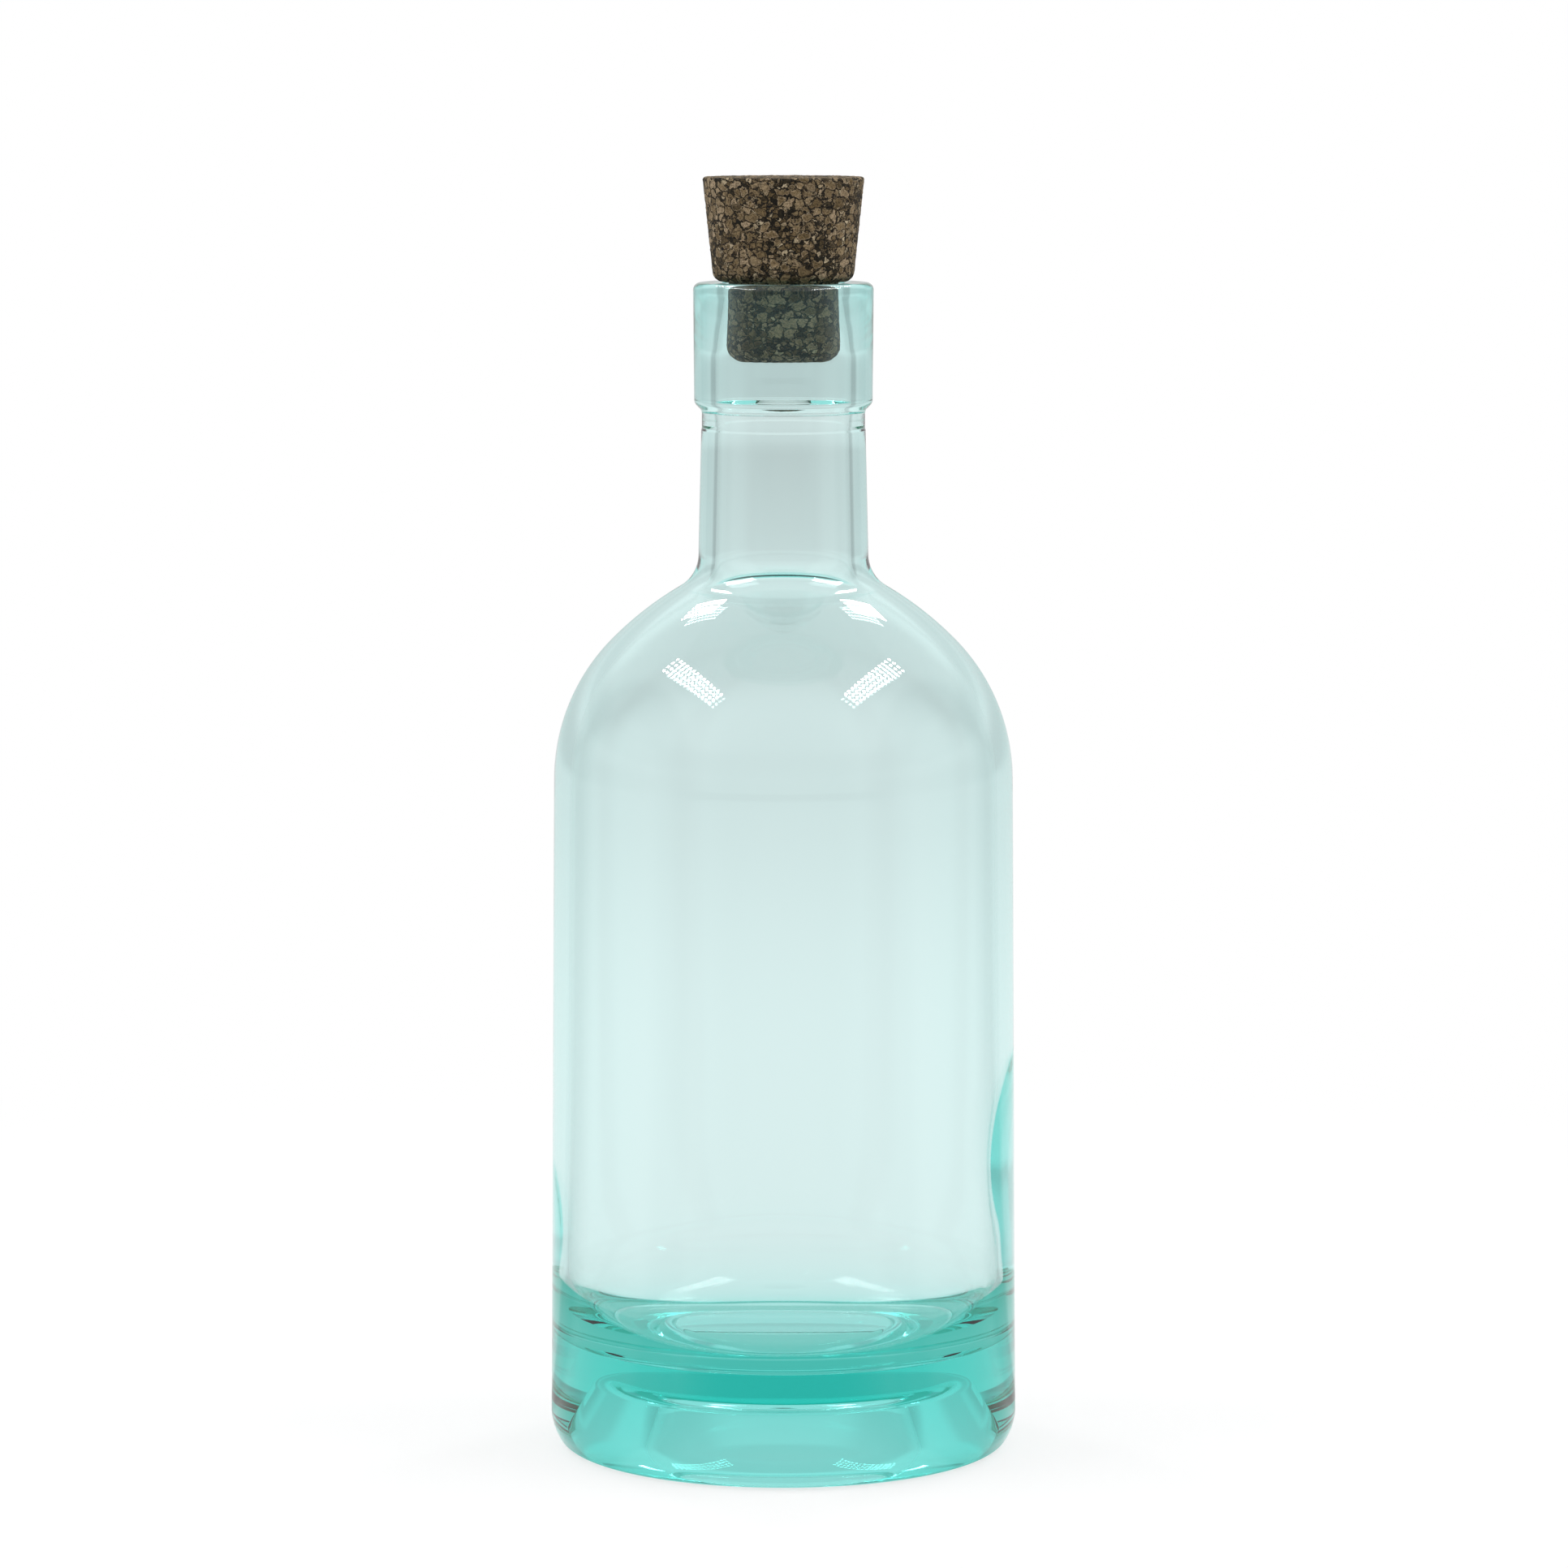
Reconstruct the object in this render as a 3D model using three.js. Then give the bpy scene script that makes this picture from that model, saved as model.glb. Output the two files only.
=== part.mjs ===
// Corked glass bottle: a heavy-based bottle of pale aqua glass and its one-piece pressed cork stopper.
// Millimetres, +Z up, origin at the centre of the base. Both pieces are turned about the Z axis.
import * as THREE from "three";

const { degToRad } = THREE.MathUtils;

// Body and heel
const BODY_HEEL_DIAMETER = 81.2;
const BODY_SHOULDER_DIAMETER = 79.4;
const SHOULDER_START_HEIGHT = 117;
const WALL_THICKNESS = 2.9;
const HEEL_SIDE_RADIUS = 8.4;
const HEEL_FOOT_RADIUS = 3.1;
const HEEL_BREAK_ANGLE = degToRad(34);

// Punt: the flat-topped hollow pushed up into the base
const PUNT_DIAMETER = 50;
const PUNT_DEPTH = 12.3;
const PUNT_SLOPE = degToRad(72);
const PUNT_SHOULDER_RADIUS = 3;
const PUNT_EDGE_RADIUS = 1.5;

// Cavity floor: a slight dome inside the bowl that leads up to the wall
const FLOOR_HEIGHT = 18.4;
const FLOOR_RISE = 0.6;
const BOWL_RUN = 9;
const BOWL_RISE = 13.4;

// Shoulder and neck
const SHOULDER_RADIUS = 34.4;
const SHOULDER_SWEEP = degToRad(44.7);
const CROWN_RADIUS = 59;
const NECK_ROOT_RADIUS = 4.5;
const NECK_ROOT_DIAMETER = 29.3;
const NECK_TOP_DIAMETER = 28.3;
const NECK_LENGTH = 25.9;
const NECK_BORE_DIAMETER = 22.6;
const SEAM_BELOW_FINISH = 3.4;
const SEAM_STEP = 0.1;
const SEAM_WIDTH = 0.4;

// Finish: the thick plain collar round the mouth
const FINISH_HEIGHT = 21.95;
const FINISH_TOP_DIAMETER = 31;
const FINISH_FOOT_DIAMETER = 30.7;
const FINISH_FOOT_RADIUS = 1.4;
const FINISH_BORE_DIAMETER = 23.4;
const FINISH_BORE_DEPTH = 12.4;
const RIM_RADIUS = 1.3;

// Mouth: the narrow land at the top of the bore that grips the cork
const MOUTH_DIAMETER = 20.2;
const MOUTH_EDGE_RADIUS = 1.2;
const MOUTH_LAND = 0.4;
const MOUTH_FLARE_DIAMETER = 22;
const MOUTH_FLARE_DEPTH = 7;

// Cork stopper: a tapered grip head over a shank that swells a little below the mouth
const CORK_CLEARANCE = 0.3;
const CORK_SEAT_GAP = 0.1;
const CORK_HEAD_HEIGHT = 18;
const CORK_HEAD_TOP_DIAMETER = 27.9;
const CORK_HEAD_FOOT_DIAMETER = 24.1;
const CORK_HEAD_TOP_EDGE = 0.5;
const CORK_HEAD_FOOT_EDGE = 1.8;
const CORK_SHANK_LENGTH = 13.4;
const CORK_SHANK_PINCH = 0.35;
const CORK_SHANK_SWELL_DEPTH = 9.5;
const CORK_SHANK_END_RADIUS = 3.2;

const SEGMENTS_AROUND = 48;
const STEPS_PER_HALF_ARC = 3;

const glass = new THREE.MeshStandardMaterial({
  name: "aqua_glass",
  color: 0xcfe8e5,
  roughness: 0.04,
  metalness: 0,
  transparent: true,
  opacity: 0.35,
});

const cork = new THREE.MeshStandardMaterial({
  name: "pressed_cork",
  color: 0x746549,
  roughness: 0.9,
  metalness: 0,
});

// The arcs that the outside and the cavity share, worked out from the driving sizes.
function bottleLayout() {
  const heelRadius = BODY_HEEL_DIAMETER / 2;
  const shoulderRadius = BODY_SHOULDER_DIAMETER / 2;
  const heelStep = HEEL_SIDE_RADIUS - HEEL_FOOT_RADIUS;
  const heelTop = HEEL_FOOT_RADIUS + heelStep * Math.sin(HEEL_BREAK_ANGLE);
  const draft = Math.atan2(heelRadius - shoulderRadius, SHOULDER_START_HEIGHT - heelTop);

  const heelSide = new THREE.Vector2(heelRadius - HEEL_SIDE_RADIUS, heelTop);
  const heelFoot = new THREE.Vector2(
    heelSide.x + heelStep * Math.cos(HEEL_BREAK_ANGLE),
    HEEL_FOOT_RADIUS,
  );
  const shoulder = new THREE.Vector2(
    shoulderRadius - SHOULDER_RADIUS * Math.cos(draft),
    SHOULDER_START_HEIGHT - SHOULDER_RADIUS * Math.sin(draft),
  );
  const crownOffset = CROWN_RADIUS - SHOULDER_RADIUS;
  const crown = new THREE.Vector2(
    shoulder.x - crownOffset * Math.cos(SHOULDER_SWEEP),
    shoulder.y - crownOffset * Math.sin(SHOULDER_SWEEP),
  );
  const rootX = NECK_ROOT_DIAMETER / 2 + NECK_ROOT_RADIUS;
  const rootReach = CROWN_RADIUS + NECK_ROOT_RADIUS;
  const rootAngle = Math.acos((rootX - crown.x) / rootReach);
  const root = new THREE.Vector2(rootX, crown.y + rootReach * Math.sin(rootAngle));
  const finishFoot = root.y + NECK_LENGTH;
  const finishNeck = NECK_TOP_DIAMETER / 2 - SEAM_STEP;
  const footBend = new THREE.Vector2(FINISH_FOOT_DIAMETER / 2 - FINISH_FOOT_RADIUS, 0);
  footBend.y = finishFoot + footBend.x - finishNeck + FINISH_FOOT_RADIUS * Math.SQRT2;
  return {
    heelRadius,
    draft,
    heelSide,
    heelFoot,
    shoulder,
    crown,
    root,
    rootAngle,
    finishNeck,
    finishFoot,
    footBend,
    rim: finishFoot + FINISH_HEIGHT,
  };
}

// Turns a half outline, drawn from axis to axis, into a closed solid standing on +Z.
function turned(outline) {
  const points = outline
    .getPoints(STEPS_PER_HALF_ARC)
    .filter((point, i, all) => i === 0 || point.distanceTo(all[i - 1]) > 0.01);
  return new THREE.LatheGeometry(points, SEGMENTS_AROUND).rotateX(Math.PI / 2);
}

// Rounds a corner with an arc tangent to the lines from the last point and to the next one.
function roundCorner(path, corner, next, radius) {
  const back = path.currentPoint.clone().sub(corner).normalize();
  const ahead = next.clone().sub(corner).normalize();
  const half = Math.acos(back.dot(ahead)) / 2;
  const centre = back
    .clone()
    .add(ahead)
    .setLength(radius / Math.sin(half))
    .add(corner);
  const start = back.setLength(radius / Math.tan(half)).add(corner).sub(centre);
  const end = ahead.setLength(radius / Math.tan(half)).add(corner).sub(centre);
  const clockwise = start.cross(end) < 0;
  path.absarc(centre.x, centre.y, radius, start.angle(), end.angle(), clockwise);
}

// Underside, heel, body wall, shoulder and neck, from the axis up to the foot of the finish.
function drawOutside(path, layout) {
  const { heelSide, heelFoot, shoulder, crown, root, rootAngle, draft } = layout;
  const puntFoot = new THREE.Vector2(PUNT_DIAMETER / 2, 0);
  const puntBrow = new THREE.Vector2(puntFoot.x - PUNT_DEPTH / Math.tan(PUNT_SLOPE), PUNT_DEPTH);
  path.moveTo(0, PUNT_DEPTH);
  path.lineTo(puntBrow.x / 2, PUNT_DEPTH);
  roundCorner(path, puntBrow, puntFoot, PUNT_SHOULDER_RADIUS);
  roundCorner(path, puntFoot, new THREE.Vector2(heelFoot.x, 0), PUNT_EDGE_RADIUS);
  path.absarc(heelFoot.x, heelFoot.y, HEEL_FOOT_RADIUS, -Math.PI / 2, -HEEL_BREAK_ANGLE, false);
  path.absarc(heelSide.x, heelSide.y, HEEL_SIDE_RADIUS, -HEEL_BREAK_ANGLE, draft, false);
  path.absarc(shoulder.x, shoulder.y, SHOULDER_RADIUS, draft, SHOULDER_SWEEP, false);
  path.absarc(crown.x, crown.y, CROWN_RADIUS, SHOULDER_SWEEP, rootAngle, false);
  path.absarc(root.x, root.y, NECK_ROOT_RADIUS, rootAngle + Math.PI, Math.PI, true);

  const seam = layout.finishFoot - SEAM_BELOW_FINISH;
  path.lineTo(NECK_TOP_DIAMETER / 2, seam);
  path.lineTo(layout.finishNeck, seam + SEAM_WIDTH);
  path.lineTo(layout.finishNeck, layout.finishFoot);
}

// The collar over its 45 degree foot, its rounded rim and the mouth's inner edge.
function drawFinish(path, layout) {
  const { footBend, rim } = layout;
  const topRadius = FINISH_TOP_DIAMETER / 2;
  const mouthRadius = MOUTH_DIAMETER / 2;
  path.absarc(footBend.x, footBend.y, FINISH_FOOT_RADIUS, -Math.PI / 4, 0, false);
  path.absarc(topRadius - RIM_RADIUS, rim - RIM_RADIUS, RIM_RADIUS, 0, Math.PI / 2, false);
  path.absarc(
    mouthRadius + MOUTH_EDGE_RADIUS,
    rim - MOUTH_EDGE_RADIUS,
    MOUTH_EDGE_RADIUS,
    Math.PI / 2,
    Math.PI,
    false,
  );
  path.lineTo(mouthRadius, rim - MOUTH_EDGE_RADIUS - MOUTH_LAND);
}

// Bore, neck and body cavity, from the mouth's land down to the axis.
function drawCavity(path, layout) {
  const { shoulder, crown, root, rootAngle, draft, heelRadius, heelSide, rim } = layout;
  path.lineTo(MOUTH_FLARE_DIAMETER / 2, rim - MOUTH_FLARE_DEPTH);
  path.lineTo(FINISH_BORE_DIAMETER / 2, rim - FINISH_BORE_DEPTH);
  path.lineTo(FINISH_BORE_DIAMETER / 2, layout.footBend.y);
  path.lineTo(NECK_BORE_DIAMETER / 2, layout.finishFoot - SEAM_BELOW_FINISH);
  path.absarc(root.x, root.y, NECK_ROOT_RADIUS + WALL_THICKNESS, Math.PI, rootAngle + Math.PI, false);
  path.absarc(crown.x, crown.y, CROWN_RADIUS - WALL_THICKNESS, rootAngle, SHOULDER_SWEEP, true);
  path.absarc(shoulder.x, shoulder.y, SHOULDER_RADIUS - WALL_THICKNESS, SHOULDER_SWEEP, draft, true);

  const bowlTop = FLOOR_HEIGHT + BOWL_RISE;
  const wallRadius = heelRadius - WALL_THICKNESS - (bowlTop - heelSide.y) * Math.tan(draft);
  const floorRadius = wallRadius - BOWL_RUN;
  const floorTop = FLOOR_HEIGHT + FLOOR_RISE;
  path.absellipse(floorRadius, bowlTop, BOWL_RUN, BOWL_RISE, 0, -Math.PI / 2, true);
  path.quadraticCurveTo(floorRadius / 2, floorTop, 0, floorTop);
}

function glassBottle(layout) {
  const outline = new THREE.Path();
  drawOutside(outline, layout);
  drawFinish(outline, layout);
  drawCavity(outline, layout);
  const mesh = new THREE.Mesh(turned(outline), glass);
  mesh.name = "glass_bottle";
  return mesh;
}

// The cork's half outline, measured from the underside of its head.
function corkOutline() {
  const shankRadius = MOUTH_DIAMETER / 2 - CORK_CLEARANCE;
  const waistRadius = shankRadius - CORK_SHANK_PINCH;
  const swell = new THREE.Vector2(shankRadius, -CORK_SHANK_SWELL_DEPTH);
  const shankEnd = new THREE.Vector2(shankRadius, -CORK_SHANK_LENGTH);
  const headFoot = new THREE.Vector2(CORK_HEAD_FOOT_DIAMETER / 2, 0);
  const headTop = new THREE.Vector2(CORK_HEAD_TOP_DIAMETER / 2, CORK_HEAD_HEIGHT);

  const path = new THREE.Path();
  path.moveTo(0, shankEnd.y);
  path.lineTo(shankRadius / 2, shankEnd.y);
  roundCorner(path, shankEnd, swell, CORK_SHANK_END_RADIUS);
  path.lineTo(swell.x, swell.y);
  path.lineTo(waistRadius, 0);
  roundCorner(path, headFoot, headTop, CORK_HEAD_FOOT_EDGE);
  roundCorner(path, headTop, new THREE.Vector2(0, CORK_HEAD_HEIGHT), CORK_HEAD_TOP_EDGE);
  path.lineTo(0, CORK_HEAD_HEIGHT);
  return path;
}

function corkStopper(layout) {
  const mesh = new THREE.Mesh(turned(corkOutline()), cork);
  mesh.name = "cork_stopper";
  mesh.position.z = layout.rim + CORK_SEAT_GAP;
  return mesh;
}

const layout = bottleLayout();
const bottle = new THREE.Group();
bottle.name = "corked_glass_bottle";
bottle.add(glassBottle(layout), corkStopper(layout));

export default bottle;
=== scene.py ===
"""Corked glass bottle: smooth glass and pressed cork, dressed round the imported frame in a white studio."""

import logging
import math
from dataclasses import dataclass, field
from enum import Enum

import bpy
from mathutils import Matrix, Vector


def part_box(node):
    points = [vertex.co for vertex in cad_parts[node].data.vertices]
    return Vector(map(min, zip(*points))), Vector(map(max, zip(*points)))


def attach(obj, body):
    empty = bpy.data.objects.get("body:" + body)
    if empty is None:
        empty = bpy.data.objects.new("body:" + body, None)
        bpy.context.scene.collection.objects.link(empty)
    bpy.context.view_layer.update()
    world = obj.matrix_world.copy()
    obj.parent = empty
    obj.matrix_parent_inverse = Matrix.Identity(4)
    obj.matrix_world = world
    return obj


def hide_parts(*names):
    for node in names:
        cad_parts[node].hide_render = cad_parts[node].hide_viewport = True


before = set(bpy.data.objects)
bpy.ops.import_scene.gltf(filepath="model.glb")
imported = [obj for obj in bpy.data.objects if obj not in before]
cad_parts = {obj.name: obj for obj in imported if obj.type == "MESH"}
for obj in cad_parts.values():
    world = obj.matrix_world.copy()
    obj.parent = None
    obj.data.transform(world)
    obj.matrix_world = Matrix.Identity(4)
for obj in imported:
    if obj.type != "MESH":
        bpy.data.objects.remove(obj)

LOG = logging.getLogger("corked_bottle")
MM = 0.001
CREASE = math.radians(12)
SAME_PLACE = 0.001 * MM
WELD = 0.002 * MM

Point = tuple[float, float]
Span = tuple[float, float]
Colour = tuple[float, float, float, float]

WHITE: Colour = (1.0, 1.0, 1.0, 1.0)


class Body(Enum):
    """The rigid bodies of the frame that a piece can ride on."""

    BOTTLE = "bottle"
    STOPPER = "stopper"


class Slot(Enum):
    """The record's material slots."""

    GLASS = "aqua_glass"
    CORK = "pressed_cork"


class Outline:
    """A half section as (radius, height) points, drawn by straight runs and arcs."""

    def __init__(self, radius: float, height: float) -> None:
        """Start the outline at one point.

        Args:
            radius: Distance from the axis, in metres.
            height: Height above the base, in metres.
        """
        self.points: list[Point] = [(radius, height)]

    def line(self, radius: float, height: float, steps: int = 1) -> None:
        """Draw a straight run in equal steps.

        Args:
            radius: Radius at the end of the run.
            height: Height at the end of the run.
            steps: Number of edges that the run is cut into.
        """
        start_radius, start_height = self.points[-1]
        for step in range(1, steps + 1):
            share = step / steps
            self._add(
                start_radius + (radius - start_radius) * share,
                start_height + (height - start_height) * share,
            )

    def arc(self, centre: Point, radius: float | Point, start: float, end: float, steps: int) -> None:
        """Draw an arc of a circle or an upright ellipse.

        Args:
            centre: Centre of the arc.
            radius: Its radius, or its radii across and up.
            start: Angle at its start, in radians from the outward direction.
            end: Angle at its end.
            steps: Number of edges.
        """
        across, up = radius if isinstance(radius, tuple) else (radius, radius)
        for step in range(steps + 1):
            angle = start + (end - start) * step / steps
            self._add(centre[0] + across * math.cos(angle), centre[1] + up * math.sin(angle))

    def corner(self, corner: Point, onward: Point, radius: float, steps: int) -> None:
        """Draw on to a corner and round it off towards a later point.

        Args:
            corner: Where the two straight lines would meet.
            onward: A point further along the second line.
            radius: Radius of the rounding.
            steps: Number of edges in the rounding.
        """
        tip = Vector(corner)
        back = (Vector(self.points[-1]) - tip).normalized()
        ahead = (Vector(onward) - tip).normalized()
        half = back.angle(ahead) / 2
        centre = tip + (back + ahead).normalized() * (radius / math.sin(half))
        start = tip + back * (radius / math.tan(half)) - centre
        end = tip + ahead * (radius / math.tan(half)) - centre
        angle = math.atan2(start.y, start.x)
        self.arc(tuple(centre), radius, angle, angle - start.angle_signed(end), steps)

    def curve(self, pull: Point, end: Point, steps: int) -> None:
        """Draw a parabola from the pen's place.

        Args:
            pull: Where the tangents at both ends meet.
            end: Where the curve ends.
            steps: Number of edges.
        """
        start = Vector(self.points[-1])
        for step in range(1, steps + 1):
            share = step / steps
            first = start.lerp(Vector(pull), share)
            second = Vector(pull).lerp(Vector(end), share)
            self._add(*first.lerp(second, share))

    def _add(self, radius: float, height: float) -> None:
        """Add a point unless the pen is already there."""
        if math.dist(self.points[-1], (radius, height)) > SAME_PLACE:
            self.points.append((radius, height))


def select_only(piece: bpy.types.Object) -> None:
    """Make one object the only selected and active one.

    Args:
        piece: The object to select.
    """
    bpy.ops.object.select_all(action="DESELECT")
    piece.select_set(True)
    bpy.context.view_layer.objects.active = piece


def turn(name: str, outline: Outline, steps: int) -> bpy.types.Object:
    """Extrude an outline from one point and spin it about the upright axis into a closed shell.

    Args:
        name: Name of the new piece.
        outline: Half section from axis to axis.
        steps: Number of steps round the axis.

    Returns:
        The smooth-shaded piece, at the origin.
    """
    bpy.ops.object.select_all(action="DESELECT")
    bpy.ops.mesh.primitive_plane_add(size=MM)
    piece = bpy.context.object
    piece.name = name
    piece.data.name = name
    bpy.ops.object.mode_set(mode="EDIT")
    bpy.ops.mesh.select_all(action="SELECT")
    bpy.ops.mesh.merge(type="CENTER")
    pen = Vector((0.0, 0.0, 0.0))
    for index, (radius, height) in enumerate(outline.points):
        place = Vector((radius, 0.0, height))
        move = {"value": place - pen}
        if index == 0:
            bpy.ops.transform.translate(**move)
        else:
            bpy.ops.mesh.extrude_vertices_move(TRANSFORM_OT_translate=move)
        pen = place
    bpy.ops.mesh.select_all(action="SELECT")
    bpy.ops.mesh.spin(steps=steps, angle=math.tau, center=(0, 0, 0), axis=(0, 0, 1))
    bpy.ops.mesh.select_all(action="SELECT")
    bpy.ops.mesh.remove_doubles(threshold=WELD)
    bpy.ops.mesh.normals_make_consistent(inside=False)
    bpy.ops.object.mode_set(mode="OBJECT")
    bpy.ops.object.shade_smooth_by_angle(angle=CREASE)
    return piece


class Nodes:
    """A node tree with one short call for adding a node and wiring it up."""

    def __init__(self, tree: bpy.types.NodeTree) -> None:
        """Empty a node tree.

        Args:
            tree: The tree to fill.
        """
        self.tree = tree
        self.tree.nodes.clear()

    def add(
        self, kind: str, inputs: dict[str | int, object] | None = None, **settings: object
    ) -> bpy.types.Node:
        """Add a node.

        Args:
            kind: Blender's name of the node, without its Shader prefix.
            inputs: Its inputs by name or number. A socket is linked and any other value is set.
            settings: The node's own settings.

        Returns:
            The new node.
        """
        node = self.tree.nodes.new(f"Shader{kind}")
        for name, setting in settings.items():
            setattr(node, name, setting)
        for key, given in (inputs or {}).items():
            if isinstance(given, bpy.types.NodeSocket):
                self.tree.links.new(given, node.inputs[key])
            else:
                node.inputs[key].default_value = given
        return node

    def math(self, operation: str, *terms: object) -> bpy.types.NodeSocket:
        """Add a Math node.

        Args:
            operation: What it does.
            terms: Its inputs in order, sockets or numbers.

        Returns:
            Its result.
        """
        return self.add("NodeMath", dict(enumerate(terms)), operation=operation).outputs[0]

    def fade(self, given: object, span: Span, low: float = 0.0, high: float = 1.0) -> bpy.types.NodeSocket:
        """Map a value smoothly from one range to another.

        Args:
            given: The socket to map.
            span: Inputs at which the result is low and high.
            low: Result at the span's start.
            high: Result at the span's end.

        Returns:
            The mapped value.
        """
        inputs = {"Value": given, "From Min": span[0], "From Max": span[1], "To Min": low, "To Max": high}
        return self.add("NodeMapRange", inputs, interpolation_type="SMOOTHSTEP").outputs["Result"]

    def steps(
        self, given: object, start: float, goals: tuple[tuple[Span, float], ...]
    ) -> bpy.types.NodeSocket:
        """Go smoothly from one level to the next.

        Args:
            given: The socket to map.
            start: The first level.
            goals: Each further level, after the span over which it is reached.

        Returns:
            The level.
        """
        level: object = start
        before = start
        for span, goal in goals:
            level = self.math("ADD", self.fade(given, span, 0.0, goal - before), level)
            before = goal
        return level

    def blend(self, share: object, first: object, second: object, how: str = "MIX") -> bpy.types.NodeSocket:
        """Mix two colours.

        Args:
            share: Share of the second colour.
            first: First colour.
            second: Second colour.
            how: The way of mixing.

        Returns:
            The mixed colour.
        """
        inputs = {"Factor": share, 6: first, 7: second}
        return self.add("NodeMix", inputs, data_type="RGBA", blend_type=how).outputs[2]

    def mix(self, share: object, first: object, second: object) -> bpy.types.NodeSocket:
        """Mix two values.

        Args:
            share: Share of the second value.
            first: First value.
            second: Second value.

        Returns:
            The mixed value.
        """
        return self.add("NodeMix", {"Factor": share, 2: first, 3: second}, data_type="FLOAT").outputs[0]

    def shade(self, share: object, first: bpy.types.Node, second: bpy.types.Node) -> bpy.types.Node:
        """Mix two shaders.

        Args:
            share: Share of the second shader.
            first: Node of the first shader.
            second: Node of the second shader.

        Returns:
            The node that mixes them.
        """
        return self.add("NodeMixShader", {0: share, 1: first.outputs[0], 2: second.outputs[0]})

    def glow(self, colour: Colour, strength: object = 1.0) -> bpy.types.Node:
        """Add an Emission node of one colour and strength."""
        return self.add("NodeEmission", {"Color": colour, "Strength": strength})

    def vector(self, operation: str, *terms: object) -> bpy.types.Node:
        """Add a Vector Math node, with its inputs in order."""
        return self.add("NodeVectorMath", dict(enumerate(terms)), operation=operation)

    def ramp(self, given: object, stops: dict[float, Colour]) -> bpy.types.NodeSocket:
        """Turn a value into a colour.

        Args:
            given: The socket to read.
            stops: Colours by place on the ramp.

        Returns:
            The colour.
        """
        node = self.add("NodeValToRGB", {"Fac": given})
        places = sorted(stops)
        while len(node.color_ramp.elements) < len(places):
            node.color_ramp.elements.new(1.0)
        for element, place in zip(node.color_ramp.elements, places):
            element.position = place
            element.color = stops[place]
        return node.outputs["Color"]


def new_material(name: str) -> tuple[bpy.types.Material, Nodes]:
    """Make an empty node material.

    Args:
        name: Name of the material.

    Returns:
        The material and its nodes.
    """
    material = bpy.data.materials.new(name)
    material.use_nodes = True
    return material, Nodes(material.node_tree)


@dataclass(frozen=True)
class AquaGlass:
    """Clear glass that takes red out of the light as it gets thicker."""

    ior: float = 1.52
    absorption_colour: Colour = (0.0, 0.865, 0.82, 1.0)
    absorption_density: float = 41.0
    wave_length: float = 26.0 * MM
    wave_depth: float = 0.02 * MM

    def material(self) -> bpy.types.Material:
        """Build the glass.

        Returns:
            The finished material.
        """
        material, nodes = new_material("aqua_glass")
        place = nodes.add("NodeTexCoord").outputs["Object"]
        waves = nodes.add("NodeTexNoise", {"Vector": place, "Scale": 1 / self.wave_length, "Detail": 1.0})
        bump = nodes.add("NodeBump", {"Height": waves.outputs["Fac"], "Distance": self.wave_depth})
        glass = nodes.add(
            "NodeBsdfPrincipled",
            {
                "Base Color": WHITE,
                "Roughness": 0.0,
                "IOR": self.ior,
                "Transmission Weight": 1.0,
                "Normal": bump.outputs["Normal"],
            },
        )
        depth = nodes.add(
            "NodeVolumeAbsorption",
            {"Color": self.absorption_colour, "Density": self.absorption_density},
        )
        shaders = {"Surface": glass.outputs["BSDF"], "Volume": depth.outputs["Volume"]}
        nodes.add("NodeOutputMaterial", shaders)
        return material


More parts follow.
